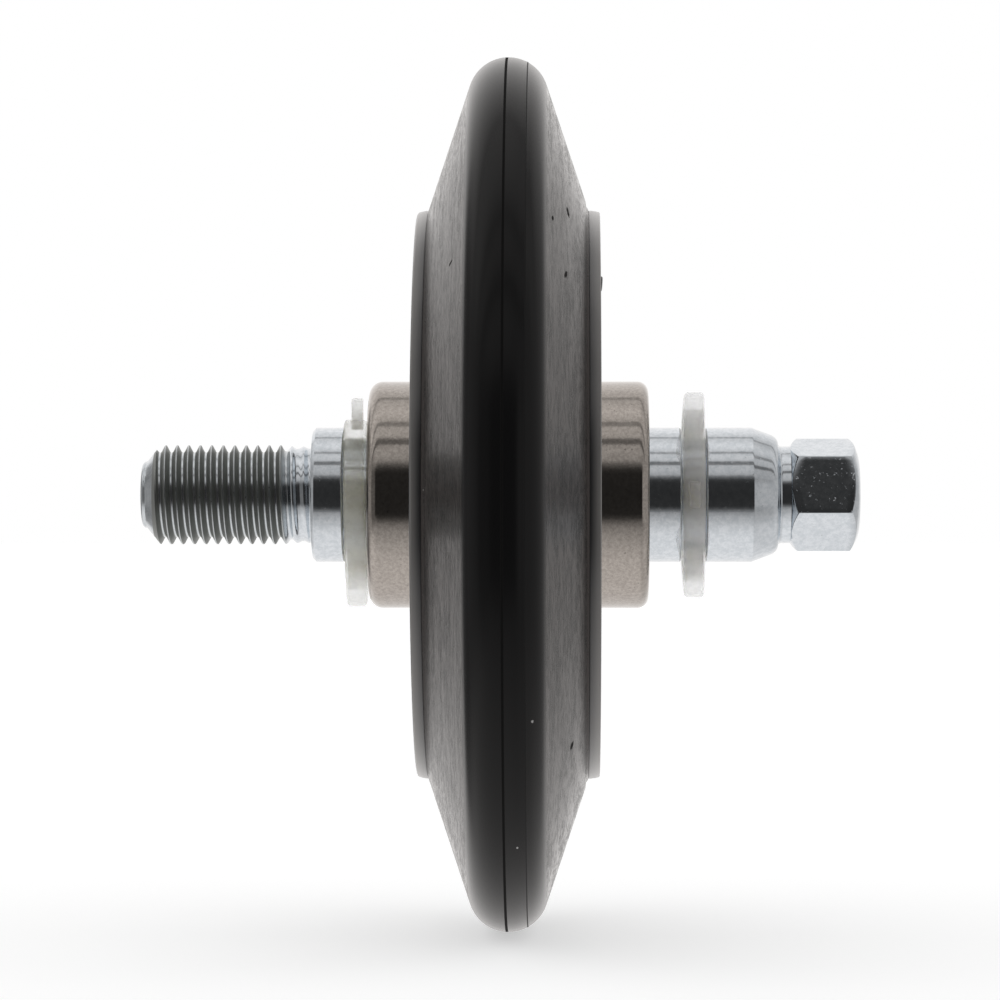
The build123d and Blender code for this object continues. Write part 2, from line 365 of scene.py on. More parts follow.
@dataclass(frozen=True)
class TyreRubber:
    """Black moulded rubber: a smooth crown, and sides with dusty streaks round the wheel."""

    name: str = "tyre_rubber"
    black: Colour = (0.0115, 0.0115, 0.012)
    worn: Colour = (0.03, 0.028, 0.027)
    dust: Colour = (0.085, 0.077, 0.074)
    seam: Colour = (0.01, 0.01, 0.01)
    lint: Colour = (0.5, 0.5, 0.5)
    specular: float = 0.15
    relief: float = 0.022
    crown_edge: Range = (44.6, 45.3)
    crown_roughness: float = 0.19
    side_roughness: Range = (0.28, 0.1)
    fine: Streaks = Streaks(28.0, 2.0, 3.2, 6, 0.64)
    broad: Streaks = Streaks(5.0, 0.8, 0.9, 4, 0.6)
    broad_share: float = 0.7
    streak_range: Range = (0.3, 0.72)
    grain: Grain = Grain(7.0, 4)
    grain_share: float = 0.18
    lip_edge: Range = (31.62, 32.62)
    lip_dust: float = 0.8
    seam_edge: Range = (0.085, 0.17)
    bead_station: float = 2.15
    bead_edge: Range = (0.04, 0.08)
    bead_roughness: float = 0.4
    scuff_strength: float = 0.75
    ragged: Grain = Grain(5.0, 3)
    ragged_share: float = 0.9
    mark_edge: Range = (1.0, 1.6)
    mark_depth: float = 4.0
    scuffs: tuple[Mark, ...] = (
        Mark((32.9, -5.62, 23.9), 0.42, 0.08, 0.5),
        Mark((33.1, -6.05, 22.9), 0.22, 0.1, 0.5),
        Mark((31.4, 6.28, 22.8), 0.45, 0.16, 0.25),
        Mark((23.9, 6.5, 29.7), 0.6, 0.12, -0.2),
        Mark((32.0, 4.92, 28.6), 0.3, 0.12),
        Mark((25.9, 6.9, -26.3), 0.5, 0.15, 0.3),
        Mark((30.5, 6.9, 17.0), 0.5, 0.14, -0.3),
    )
    specks: tuple[Mark, ...] = (
        Mark((41.0, 2.88, -23.0), 0.16, 0.13),
        Mark((30.9, 1.25, -36.6), 0.14, 0.12),
        Mark((31.6, -8.4, 0.5), 0.2, 0.16),
    )

    def marked(self, graph: Graph, place: Value, marks: Sequence[Mark]) -> Value:
        """Finds the marks at a place.

        Args:
            graph: The finish's node tree.
            place: The place on the tyre.
            marks: The marks, each an oval with a ragged edge.

        Returns:
            A socket with 1 on the marks and 0 elsewhere.
        """
        rough = graph.math("MULTIPLY", graph.grain(place, self.ragged), self.ragged_share)
        found = None
        for mark in marks:
            apart = graph.vector("SUBTRACT", place, mark.place)
            turned = graph.node("VectorRotate", {0: apart, "Angle": mark.lean}, rotation_type="X_AXIS")
            depth = self.mark_depth * mark.half_length
            reach = (1 / depth, 1 / mark.half_width, 1 / mark.half_length)
            far = graph.length(graph.vector("MULTIPLY", turned.outputs[0], reach))
            inside = graph.span(graph.math("ADD", far, rough), self.mark_edge, FALLING)
            found = inside if found is None else graph.math("MAXIMUM", found, inside)
        return found

    def band(self, graph: Graph, station: Value, centre: float, edge: Range, level: float = 1.0) -> Value:
        """Returns a level on a narrow band round the tyre, and 0 beside it."""
        apart = graph.math("ABSOLUTE", graph.math("SUBTRACT", station, centre))
        return graph.span(apart, edge, (level, 0.0))

    def paint(self, graph: Graph) -> None:
        """Draws streaks, grain, dust, seam, bead, scuffs and specks of lint."""
        place = graph.place()
        radius, station = graph.radius(place), graph.station(place)
        side = graph.span(radius, self.crown_edge, FALLING)
        fine, broad = graph.streaks(place, self.fine), graph.streaks(place, self.broad)
        streaks = graph.math("MULTIPLY_ADD", graph.math("SUBTRACT", broad, 0.5), self.broad_share, fine)
        scuffed = graph.math("MULTIPLY", self.marked(graph, place, self.scuffs), self.scuff_strength)
        linted = self.marked(graph, place, self.specks)
        seam = self.band(graph, station, SEAM_STATION, self.seam_edge)
        bead = self.band(graph, station, self.bead_station, self.bead_edge, self.bead_roughness)
        lip = graph.span(radius, self.lip_edge, FALLING)
        dusty = graph.math("MULTIPLY_ADD", lip, self.lip_dust, graph.span(streaks, self.streak_range))
        rubber = graph.mix(side, self.black, graph.mix(dusty, self.worn, self.dust))
        rubber = graph.mix(seam, graph.mix(scuffed, rubber, self.black), self.seam)
        grain = graph.math("MULTIPLY", graph.grain(place, self.grain), self.grain_share)
        height = graph.math("ADD", graph.math("MULTIPLY", fine, side), grain)
        smooth = graph.span(streaks, self.streak_range, self.side_roughness)
        uneven = graph.math("MULTIPLY", graph.math("SUBTRACT", smooth, self.crown_roughness), side)
        dull = graph.math("ADD", bead, self.crown_roughness)
        rough_marks = graph.math("ADD", scuffed, seam)
        graph.surface({
            "Base Color": graph.mix(linted, rubber, self.lint),
            "Roughness": graph.math("ADD", graph.math("ADD", uneven, dull), rough_marks),
            "Specular IOR Level": self.specular,
            "Normal": graph.bump(height, self.relief),
        })


@dataclass(frozen=True)
class HubPlastic:
    """Dark grey moulded plastic with a satin surface, and a painted highlight that makes the flanges' outer
    rims paler.
    """

    name: str = "hub_plastic"
    low: Colour = (0.032, 0.033, 0.036)
    high: Colour = (0.048, 0.049, 0.053)
    # Colour of the painted highlight on the flanges' outer rims.
    painted_rim_highlight: Colour = (0.25, 0.245, 0.24)
    flow: Grain = Grain(0.35, 4)
    grain: Grain = Grain(11.0, 3)
    rim_edge: Range = (30.9, 31.1)
    crest_edge: Range = (8.8, 9.95)
    roughness: Range = (0.3, 0.4)
    coat_roughness: float = 0.3
    relief: float = 0.004

    def paint(self, graph: Graph) -> None:
        """Draws a faint flow pattern, a fine grain and a painted highlight on the flanges' outer rims."""
        place = graph.place()
        flow, grain = graph.grain(place, self.flow), graph.grain(place, self.grain)
        outward = graph.math("ABSOLUTE", graph.station(place))
        rim = graph.span(graph.radius(place), self.rim_edge)
        # Painted highlight: a paler colour on the flanges' outer rims, towards the faces, stands in for the
        # light they catch.
        rim_highlight_share = graph.math("MULTIPLY", rim, graph.span(outward, self.crest_edge))
        graph.surface({
            "Base Color": graph.mix(rim_highlight_share, graph.mix(flow, self.low, self.high), self.painted_rim_highlight),
            "Roughness": graph.span(grain, BULK, self.roughness),
            "Coat Weight": 1.0,
            "Coat Roughness": self.coat_roughness,
            "Normal": graph.bump(grain, self.relief),
        })


@dataclass(frozen=True)
class SinteredMetal:
    """Pressed and sintered metal: warm grey, granular and lightly oiled."""

    name: str = "sintered_metal"
    low: Colour = (0.33, 0.30, 0.275)
    high: Colour = (0.47, 0.435, 0.40)
    pore: Colour = (0.1, 0.09, 0.08)
    mottle: Grain = Grain(2.6, 6, 0.72)
    grain: Grain = Grain(4.5, 4, 0.65)
    pores: Grain = Grain(2.8, 3, 0.6)
    pore_range: Range = (0.68, 0.74)
    roughness: Range = (0.03, 0.1)
    relief: float = 0.0028

    def paint(self, graph: Graph) -> None:
        """Draws grains, pores and soft mottling."""
        place = graph.place()
        mottle = graph.span(graph.grain(place, self.mottle), BULK)
        grain = graph.grain(place, self.grain)
        pores = graph.span(graph.grain(place, self.pores), self.pore_range)
        graph.surface({
            "Base Color": graph.mix(pores, graph.mix(mottle, self.low, self.high), self.pore),
            "Metallic": 1.0,
            "Roughness": graph.span(grain, BULK, self.roughness),
            "Normal": graph.bump(grain, self.relief),
        })


@dataclass(frozen=True)
class ZincPlate:
    """Bright zinc plating over a turned surface, with raised flecks where it is rough, and painted shade on
    the thread's flanks.
    """

    name: str = "zinc_plate"
    fleck_height: float = 0.8
    low: Colour = (0.595, 0.64, 0.68)
    high: Colour = (0.71, 0.75, 0.79)
    stain: Colour = (0.22, 0.23, 0.23)
    # Colour of the painted shade on the thread's flanks.
    painted_flank_shade: Colour = (0.34, 0.355, 0.345)
    mottle: Grain = Grain(1.6, 6, 0.7)
    mottle_range: Range = (0.35, 0.65)
    ripple: Grain = Grain(1.8, 4, 0.6)
    turning: Streaks = Streaks(0.4, 9.0, 0.0, 2, 0.5)
    turning_share: float = 0.3
    flecks: Grain = Grain(2.4, 5, 0.65)
    fleck_range: Range = (0.63, 0.72)
    stains: Grain = Grain(2.6, 4, 0.7)
    stain_range: Range = (0.67, 0.76)
    roughness: Range = (0.04, 0.1)
    relief: float = 0.003
    flank_roughness: float = 0.42
    thread_end: Range = (-25.2, -24.0)
    crest_edge: Range = (5.44, 5.485)
    crest_shares: Range = (1.0, 0.45)
    root_edge: Range = (4.685, 4.705)
    root_shares: Range = (0.2, 1.0)

    def paint(self, graph: Graph) -> None:
        """Draws turning lines, ripples, mottled plating, flecks, small dark stains and painted shade on the
        thread's flanks.
        """
        place = graph.place()
        mottle = graph.grain(place, self.mottle)
        lines = graph.streaks(place, self.turning)
        flecks = graph.span(graph.grain(place, self.flecks), self.fleck_range)
        stains = graph.span(graph.grain(place, self.stains), self.stain_range)
        tone = graph.mix(graph.span(mottle, self.mottle_range), self.low, self.high)
        # Painted shade: the thread's flanks are darkened in colour, standing in for the shade between its
        # turns, and the same share makes them rougher.
        painted_flank_shade = self.painted_shade_on_flanks(graph, place)
        waves = graph.math("MULTIPLY_ADD", lines, self.turning_share, graph.grain(place, self.ripple))
        relief = graph.math("MULTIPLY_ADD", flecks, self.fleck_height, waves)
        smooth = graph.span(mottle, BULK, self.roughness)
        graph.surface({
            "Base Color": graph.mix(painted_flank_shade, graph.mix(stains, tone, self.stain), self.painted_flank_shade),
            "Metallic": 1.0,
            "Roughness": graph.math("MULTIPLY_ADD", painted_flank_shade, self.flank_roughness, smooth),
            "Normal": graph.bump(relief, self.relief),
        })

    def painted_shade_on_flanks(self, graph: Graph, place: Value) -> Value:
        """Returns the share of painted shade, which also marks the rougher plating: 1 on the thread's
        flanks, less on its crests and roots, and 0 past its end.
        """
        radius = graph.radius(place)
        below = graph.span(radius, self.crest_edge, self.crest_shares)
        above = graph.span(radius, self.root_edge, self.root_shares)
        within = graph.span(graph.station(place), self.thread_end, FALLING)
        return graph.math("MULTIPLY", graph.math("MULTIPLY", below, above), within)


@dataclass(frozen=True)
class RingPlastic:
    """Natural plastic that lets light through, more so in the ring's thin corners."""

    name: str
    tint: Colour
    shade: float = 0.95
    clouds: Grain = Grain(0.8, 3)
    radii: Range = (8.2, 10.4)
    cover: Range = (0.42, 0.18)
    cover_change: float = 0.15
    roughness: Range = (0.24, 0.34)
    refraction: float = 1.5
    scatter: Colour = (1.0, 1.0, 0.9)
    scatter_depth: float = 5.0
    forward_scatter: float = 0.8

    def paint(self, graph: Graph) -> None:
        """Draws a milky body with soft clouds."""
        place = graph.place()
        clouds = graph.grain(place, self.clouds)
        shade = tuple(self.shade * level for level in self.tint)
        cover = graph.span(graph.radius(place), self.radii, self.cover)
        uneven = graph.math("SUBTRACT", clouds, 0.5)
        graph.surface({
            "Base Color": graph.mix(clouds, shade, self.tint),
            "Roughness": graph.span(clouds, BULK, self.roughness),
            "Alpha": graph.math("MULTIPLY_ADD", uneven, self.cover_change, cover),
            "IOR": self.refraction,
            "Subsurface Weight": 1.0,
            "Subsurface Radius": self.scatter,
            "Subsurface Scale": self.scatter_depth * MM,
            "Subsurface Anisotropy": self.forward_scatter,
        })


def make_piece(name: str, skin: Skin, finish: Finish, node: str, crease: float = 40.0) -> None:
    """Makes a piece that takes a CAD node's place and body.

    Args:
        name: The piece's name.
        skin: Its points and faces.
        finish: Its finish.
        node: The CAD node that it stands for.
        crease: Edges that turn by more degrees than this stay sharp.
    """
    mesh = bpy.data.meshes.new(name)
    mesh.from_pydata((np.array(skin.points) * MM).tolist(), [], skin.faces)
    work = bmesh.new()
    work.from_mesh(mesh)
    bmesh.ops.remove_doubles(work, verts=work.verts, dist=WELD * MM)
    bmesh.ops.recalc_face_normals(work, faces=work.faces)
    work.to_mesh(mesh)
    work.free()
    mesh.shade_smooth()
    mesh.set_sharp_from_angle(angle=math.radians(crease))
    mesh.materials.append(material_of(finish))
    piece = bpy.data.objects.new(name, mesh)
    bpy.context.scene.collection.objects.link(piece)
    body = next(body for body, nodes in frame["record"]["behaviour"]["bodies"].items() if node in nodes)
    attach(piece, body)
    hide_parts(node)
    log.info("%s: %d faces, rides %s", name, len(mesh.polygons), body)


@dataclass
class Tyre:
    """The rubber tyre: a round crown, straight conical sides and a foot in the hub's channel."""

    crown_radius: float = 4.4
    lip_half_width: float = 8.74
    lip_radius: float = 31.42
    lip_chamfer: tuple[float, float] = (0.14, 0.06)
    lip_drop: float = 0.2
    step_height: float = 0.34
    step_width: float = 0.24
    foot_half_width: float = 8.58
    foot_radius: float = 28.13
    seam_half_width: float = 0.13
    seam_depth: float = 0.02
    bead_station: float = 2.1
    bead_half_width: float = 0.22
    bead_height: float = 0.035
    segments: int = 360
    crown_steps: int = 64
    side_steps: int = 16
    finish: TyreRubber = field(default_factory=TyreRubber)

    def relief(self, station: float) -> float:
        """Returns how far the mould's marks raise the crown at a station."""
        seam = max(0.0, 1 - abs(station - SEAM_STATION) / self.seam_half_width)
        bead = (station - self.bead_station) / self.bead_half_width
        return self.bead_height * math.exp(-2 * bead * bead) - self.seam_depth * seam

    def profile(self) -> Profile:
        """Returns the tyre's section, as radius and station."""
        centre = outer_radius("tyre") - self.crown_radius
        reach = centre - self.lip_radius
        slope = math.atan2(self.lip_half_width, reach)
        slope -= math.asin(self.crown_radius / math.hypot(reach, self.lip_half_width))
        limit = self.crown_radius * math.cos(slope)
        angles = np.linspace(slope - math.pi / 2, math.pi / 2 - slope, self.crown_steps + 1)
        stations = set((self.crown_radius * np.sin(angles)).round(5))
        for share in (-1, -0.5, 0, 0.5, 1):
            stations.add(round(SEAM_STATION + share * self.seam_half_width, 5))
        done: Profile = []
        for y in sorted(stations):
            height = math.sqrt(max(self.crown_radius**2 - y * y, 0.0))
            done.append((centre + height + self.relief(y), y))
        edge_radius = done[-1][0]
        side: Profile = []
        for step in range(1, self.side_steps):
            share = step / self.side_steps
            radius = edge_radius + (self.lip_radius - edge_radius) * share
            side.append((radius, limit + (self.lip_half_width - limit) * share))
        foot = [
            (self.lip_radius, self.lip_half_width),
            (self.lip_radius - self.lip_chamfer[0], self.lip_half_width - self.lip_chamfer[1]),
            (self.lip_radius - self.lip_drop, self.foot_half_width),
            (self.foot_radius, self.foot_half_width),
        ]
        right = side + [(self.lip_radius + self.step_height, self.lip_half_width - self.step_width)] + foot
        left = [(radius, -y) for radius, y in reversed(side + foot)]
        return done + right + left

    def build(self) -> None:
        """Makes the tyre."""
        skin = Skin()
        turn_profile(skin, self.profile(), even_turn(self.segments))
        make_piece("rubber_tyre", skin, self.finish, "tyre")


@dataclass
class Hub:
    """The moulded hub: two thin flanges, a channel for the tyre, and ribbed pockets in both faces."""

    half_width: float = 10.0
    bore_clearance: float = 0.03
    bore_chamfer: float = 0.3
    boss_wall: float = 3.6
    rim_inner_radius: float = 25.7
    channel_radius: float = 28.1
    channel_half_width: float = 8.65
    flange_inner_round: float = 0.16
    flange_inner_chamfer: tuple[float, float] = (0.048, 0.056)
    flange_crown_drop: float = 0.14
    flange_crown_steps: int = 4
    corner_rounds: tuple[float, float] = (0.36, 0.18)
    flange_corner_steps: int = 5
    key_height: float = 1.4
    key_half_width: float = 2.8
    rib_count: int = 6
    rib_thickness: float = 2.2
    corner_radius: float = 1.4
    web_thickness: float = 2.4
    edge_round: float = 0.3
    floor_round: float = 0.7
    draft: float = 0.8
    round_steps: int = 4
    half_arc_steps: int = 26
    corner_steps: int = 8
    rib_steps: int = 5
    gate_reach: float = 23.3
    gate_radius: float = 0.85
    gate_segments: int = 24
    gate_unevenness: float = 0.04
    gate_waves: int = 5
    gate_tilt: tuple[float, float] = (0.86, 0.13)
    gate_levels: tuple[tuple[float, float], ...] = (
        (-0.1, 1.0), (0.2, 0.99), (0.3, 0.93), (0.36, 0.8), (0.38, 0.5), (0.38, 0.2),
    )
    finish: HubPlastic = field(default_factory=HubPlastic)

    def half_cell(self) -> float:
        """Returns half the angle from one rib to the next."""
        return math.pi / self.rib_count

    def boss_radius(self) -> float:
        """Returns the outer radius of the boss round the bush."""
        return outer_radius("bush") + self.bore_clearance + self.boss_wall

    def pocket_loop(self, inset: float) -> np.ndarray:
        """Returns a pocket's outline about the X axis, moved inwards by an inset.

        Args:
            inset: How far each wall has moved in.

        Returns:
            The closed outline, as complex numbers, with the same number of points for any inset.
        """
        outer = self.rim_inner_radius - inset
        inner = self.boss_radius() + inset
        corner = self.corner_radius - inset
        beside = self.rib_thickness / 2 + inset + corner
        rib = np.exp(1j * self.half_cell())
        into = rib * -1j
        outer_centre = rib * math.sqrt((outer - corner) ** 2 - beside**2) + into * beside
        inner_centre = rib * math.sqrt((inner + corner) ** 2 - beside**2) + into * beside
        wall = self.half_cell() + math.pi / 2
        outer_turn = np.linspace(np.angle(outer_centre), wall, self.corner_steps + 1)
        inner_turn = np.linspace(wall, np.angle(inner_centre) + math.pi, self.corner_steps + 1)
        outer_arc = outer * np.exp(1j * np.linspace(0, np.angle(outer_centre), self.half_arc_steps + 1))
        inner_arc = inner * np.exp(1j * np.linspace(np.angle(inner_centre), 0, self.half_arc_steps + 1))
        outer_corner = outer_centre + corner * np.exp(1j * outer_turn)
        inner_corner = inner_centre + corner * np.exp(1j * inner_turn)
        straight = np.linspace(outer_corner[-1], inner_corner[0], self.rib_steps + 1)
        half = np.concatenate([outer_arc, outer_corner[1:], straight[1:], inner_corner[1:], inner_arc[1:]])
        return np.concatenate([half, np.conj(half[-2:0:-1])])

    def cell_loop(self, inner: float, outer: float) -> np.ndarray:
        """Returns the outline of one cell of the face, from rib to rib, with as many points as a pocket."""
        arc_steps = self.half_arc_steps + self.corner_steps // 2
        angle = self.half_cell()
        outer_arc = outer * np.exp(1j * np.linspace(0, angle, arc_steps + 1))
        inner_arc = inner * np.exp(1j * np.linspace(angle, 0, arc_steps + 1))
        straight = np.linspace(outer_arc[-1], inner_arc[0], self.corner_steps + self.rib_steps + 1)
        half = np.concatenate([outer_arc, straight[1:], inner_arc[1:]])
        return np.concatenate([half, np.conj(half[-2:0:-1])])

    def add_pockets(self, skin: Skin, side: Side, inner: float, outer: float) -> None:
        """Adds a face's pockets, with rounded lips, drafted walls and rounded floors.

        Args:
            skin: The hub's points and faces.
            side: The face.
            inner: Where the cells start, at the boss.
            outer: Where the cells end, at the rim.
        """
        depth = self.half_width - self.web_thickness / 2
        slope = math.tan(math.radians(self.draft))
        steps = [(-self.edge_round, 0.0)]
        for turn in quarter_turn(self.round_steps):
            steps.append((-self.edge_round * (1 - math.sin(turn)), self.edge_round * (1 - math.cos(turn))))
        wall = depth - self.edge_round - self.floor_round
        steps.append((wall * slope, self.edge_round + wall))
        for turn in quarter_turn(self.round_steps):
            inset = wall * slope + self.floor_round * (1 - math.cos(turn))
            steps.append((inset, depth - self.floor_round * (1 - math.sin(turn))))
        for cell in range(self.rib_count):
            turn = 1j * np.exp(1j * self.half_cell() * (2 * cell + 1))
            loops = [skin.loop(self.cell_loop(inner, outer) * turn, side.value * self.half_width)]
            for inset, down in steps:
                station = side.value * (self.half_width - down)
                loops.append(skin.loop(self.pocket_loop(inset) * turn, station))
            skin.chain(loops)
            skin.cap(loops[-1])

    def flange(self, side: Side) -> Profile:
        """Returns a flange's section from the channel's floor to its flat face, for one side."""
        radius = outer_radius("hub")
        corner = self.corner_rounds[0] if side is Side.THREAD else self.corner_rounds[1]
        inner = self.channel_half_width
        crest = inner + self.flange_inner_round
        end = self.half_width - corner
        drop, offset = self.flange_inner_chamfer
        done: Profile = [
            (self.channel_radius, inner),
            (radius - self.flange_inner_round, inner),
            (radius - drop, inner + offset),
        ]
        for share in np.linspace(0, 1, self.flange_crown_steps + 1):
            done.append((radius - self.flange_crown_drop * share * share, crest + (end - crest) * share))
        top = done[-1][0]
        for turn in quarter_turn(self.flange_corner_steps):
            done.append((top - corner * (1 - math.cos(turn)), end + corner * math.sin(turn)))
        return [(r, side.value * y) for r, y in done]

    def build(self) -> None:
        """Makes the hub and its gate mark."""
        skin = Skin()
        arc_steps = self.half_arc_steps + self.corner_steps // 2
        directions = even_turn(2 * self.rib_count * arc_steps)
        bore = outer_radius("bush") + self.bore_clearance
        bore_end = self.half_width - self.bore_chamfer
        cell_inner = self.boss_radius() - 2 * self.edge_round
        cell_outer = self.rim_inner_radius + 2 * self.edge_round
        floor, key = self.channel_radius, self.channel_radius + self.key_height
        channel: Profile = [
            (floor, -self.channel_half_width),
            (floor, -self.key_half_width),
            (key, -self.key_half_width),
            (key, self.key_half_width),
            (floor, self.key_half_width),
            (floor, self.channel_half_width),
        ]
        runs: list[Profile] = [channel, [(bore, -bore_end), (bore, bore_end)]]
        for side in Side:
            self.add_pockets(skin, side, cell_inner, cell_outer)
            face = side.value * self.half_width
            chamfer = [(bore, side.value * bore_end), (bore + self.bore_chamfer, face)]
            runs.append(chamfer + [(cell_inner, face)])
            runs.append(self.flange(side) + [(cell_outer, face)])
        for run in runs:
            skin.chain([skin.loop(directions * radius, station) for radius, station in run])
        make_piece("spool_hub", skin, self.finish, "hub")
        self.build_gate_mark()

    def build_gate_mark(self) -> None:
        """Makes the broken gate's stub on the rim's face: a low blob, highest at its upper end."""
        skin = Skin()
        uneven = 1 + self.gate_unevenness * np.sin(self.gate_waves * np.arange(self.gate_segments))
        loops = []
        for height, share in self.gate_levels:
            ring = even_turn(self.gate_segments) * self.gate_radius * share * uneven
            slant = self.gate_tilt[0] + self.gate_tilt[1] * ring.imag / self.gate_radius
            tilt = slant if height > 0 else 1.0
            loops.append(skin.loop(ring + 1j * self.gate_reach, self.half_width + height * tilt))
        skin.chain(loops)
        skin.cap(loops[0])
        skin.cap(loops[-1])
        make_piece("gate_mark", skin, self.finish, "hub")


@dataclass
class Bush:
    """The sintered bush: a sleeve with rounded ends and a chamfered bore."""

    bore_radius: float = 7.465
    bore_chamfer: float = 0.5
    bore_edge_round: float = 0.1
    end_rounds: tuple[float, float] = (1.5, 1.2)
    end_steps: int = 8
    segments: int = 256
    finish: SinteredMetal = field(default_factory=SinteredMetal)

    def build(self) -> None:
        """Makes the bush."""
        radius = outer_radius("bush")
        low, high = ends("bush")
        corners = [
            (self.bore_radius, low + self.bore_chamfer, 0.0),
            (self.bore_radius + self.bore_chamfer, low, self.bore_edge_round),
            (radius, low, self.end_rounds[0]),
            (radius, high, self.end_rounds[1]),
            (self.bore_radius + self.bore_chamfer, high, self.bore_edge_round),
            (self.bore_radius, high - self.bore_chamfer, 0.0),
        ]
        skin = Skin()
        turn_profile(skin, rounded(corners, self.end_steps), even_turn(self.segments))
        make_piece("sintered_bush", skin, self.finish, "bush")


@dataclass
class Shaft:
    """The turned shaft: its thread, shoulder, ring grooves, journal, tapered nose and neck."""

    tip_face_radius: float = 3.175
    tip_edge_radius: float = 3.675
    tip_round: float = 0.5
    tip_slope: float = 1.2
    tip_gap: float = 0.22
    thread_radius: float = 5.475
    thread_depth: float = 0.78
    root_share: float = 1.02
    half_section: tuple[tuple[float, float], ...] = (
        (0.0, 0.0), (0.045, 0.0), (0.085, 0.08), (0.22, 0.5), (0.355, 0.92), (0.42, 1.0),
    )
    least_radius: float = 0.5
    pitch: float = 1.27
    crest_at_top: float = -37.91
    fade_start: float = -25.5
    fade_end: float = -22.9
    run_out_depth: float = 0.2
    run_out_drop: float = 0.14
    run_out_end: float = -21.85
    run_out_rises: tuple[float, float] = (0.04, 0.1)
    shoulder: float = -21.59
    shoulder_rounds: tuple[float, float] = (0.08, 0.05)
    journal_radius: float = 7.425
    collar_chamfer: float = 0.35
    collar_round: float = 0.1
    groove_floor_radius: float = 6.2
    groove_half_width: float = 1.35
    groove_round: float = 0.15
    edge_round: float = 0.2
    corner_steps: int = 4
    taper_start: float = 26.75
    taper_round: float = 0.5
    taper_end: float = 28.69
    taper_radius: float = 6.7
    nose_first_turn: float = 30.0
    nose_steps: int = 8
    round_steps: int = 5
    neck_start: float = 29.64
    neck_radius: float = 5.35
    neck_fillet: float = 0.4
    neck_end: float = 30.94
    segments: int = 144
    finish: ZincPlate = field(default_factory=ZincPlate)

    def crest_section(self) -> list[tuple[float, float]]:
        """Returns one turn of the thread's section: the share of the pitch, and the share of the depth."""
        mirrored = [(1 - along, deep) for along, deep in reversed(self.half_section[1:])]
        return [*self.half_section, (0.5, self.root_share), *mirrored]

    def thread_point(self, station: float, deep: float) -> float:
        """Returns the thread's radius.

        Args:
            station: The place along the axis.
            deep: The share of the full depth, from crest to root.

        Returns:
            The radius, no larger than the tip's cone and no smaller than the least one.
        """
        fade = min(max((station - self.fade_start) / (self.fade_end - self.fade_start), 0.0), 1.0)
        fade = fade * fade * (3 - 2 * fade)
        depth = self.thread_depth + (self.run_out_depth - self.thread_depth) * fade
        cone = self.tip_edge_radius + self.tip_slope * (station - self.tip_start())
        full = self.thread_radius - self.run_out_drop * fade - depth * deep
        return max(min(full, cone), self.least_radius)

    def tip_start(self) -> float:
        """Returns where the tip's cone starts."""
        return ends("shaft")[0] + self.tip_gap + self.tip_round

    def add_thread(self, skin: Skin) -> tuple[list[int], list[int]]:
        """Adds the thread, whose rows of points follow the helix, cut square at both ends.

        Returns:
            The loops of points at its tip end and at its shoulder end.
        """
        start, end = self.tip_start(), self.run_out_end
        section = self.crest_section()
        first_turn = math.floor((start - self.crest_at_top) / self.pitch) - 1
        last_turn = math.ceil((end - self.crest_at_top) / self.pitch) + 2
        directions = even_turn(self.segments)
        work = bmesh.new()
        rows = []
        for turn in range(first_turn, last_turn):
            for along, deep in section:
                row = []
                for k, direction in enumerate(directions):
                    # The top is a quarter of a turn on from the first point.
                    lag = k / self.segments - 0.25
                    station = self.crest_at_top + (turn + along - lag) * self.pitch
                    place = direction * self.thread_point(station, deep)
                    row.append(work.verts.new((place.real, station, place.imag)))
                rows.append(row)
        for lower, upper in zip(rows, rows[1:]):
            for k in range(self.segments - 1):
                work.faces.new((lower[k], lower[k + 1], upper[k + 1], upper[k]))
        for number in range(len(section), len(rows) - 1):
            lower, upper = rows[number - len(section)], rows[number + 1 - len(section)]
            work.faces.new((rows[number][-1], lower[0], upper[0], rows[number + 1][-1]))
        for place, away in ((start, -1), (end, 1)):
            everything = work.verts[:] + work.edges[:] + work.faces[:]
            cut = {"plane_co": (0, place, 0), "plane_no": (0, away, 0), "dist": 0.01 * WELD}
            bmesh.ops.bisect_plane(work, geom=everything, clear_outer=True, **cut)
        work.verts.index_update()
        first = len(skin.points)
        skin.points += [tuple(v.co) for v in work.verts]
        skin.faces += [tuple(first + v.index for v in face.verts) for face in work.faces]
        loops = []
        for place in (start, end):
            rim = [v for v in work.verts if abs(v.co.y - place) < WELD and v.is_boundary]
            rim.sort(key=lambda v: math.atan2(v.co.z, v.co.x))
            loops.append([first + v.index for v in rim])
        work.free()
        return loops[0], loops[1]

    def carry_on(self, skin: Skin, loop: list[int], profile: Profile) -> list[int]:
        """Carries a loop on along a profile, keeping each point's angle, and returns the last loop."""
        directions = np.array([complex(skin.points[i][0], skin.points[i][2]) for i in loop])
        directions /= abs(directions)
        loops = [loop] + [skin.loop(directions * radius, station) for radius, station in profile]
        skin.chain(loops)
        return loops[-1]

